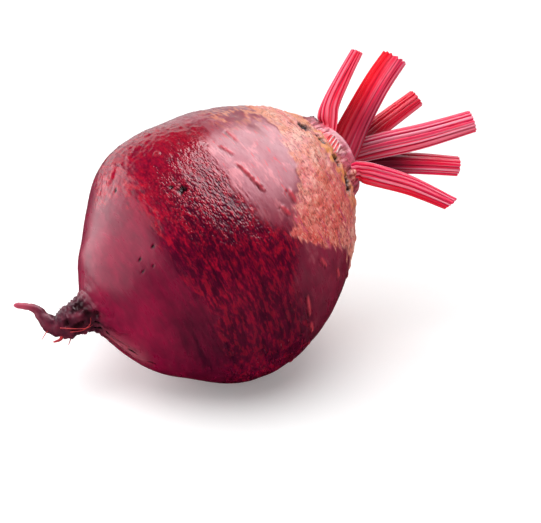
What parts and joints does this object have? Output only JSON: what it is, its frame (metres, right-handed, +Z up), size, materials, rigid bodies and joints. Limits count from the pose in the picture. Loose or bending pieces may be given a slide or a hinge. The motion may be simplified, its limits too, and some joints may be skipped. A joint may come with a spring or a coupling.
{
  "type": "beetroot",
  "caption": "Whole beetroot lying on its side, with a curled tap root, a corky shoulder and ribbed leaf stalks cut short above its crown.",
  "frame": {"origin": "on the floor under the middle of the object's bounding box", "axes": "+Z up; +X the way the leaf stalks reach and the tap root points away from; +Y to the far side, towards which the crown turns"},
  "size_m": [0.1398, 0.0954, 0.0908],
  "materials": {
    "root_skin": "waxy skin, dark crimson, corky at the crown",
    "stalk_skin": "smooth ribbed stalk, crimson to pink"
  },
  "bodies": {
    "root": {"beet_root": "root_skin", "stalk_1": "stalk_skin", "stalk_2": "stalk_skin", "stalk_3": "stalk_skin", "stalk_4": "stalk_skin", "stalk_5": "stalk_skin", "stalk_6": "stalk_skin", "stalk_stump": "stalk_skin"}
  },
  "joints": []
}
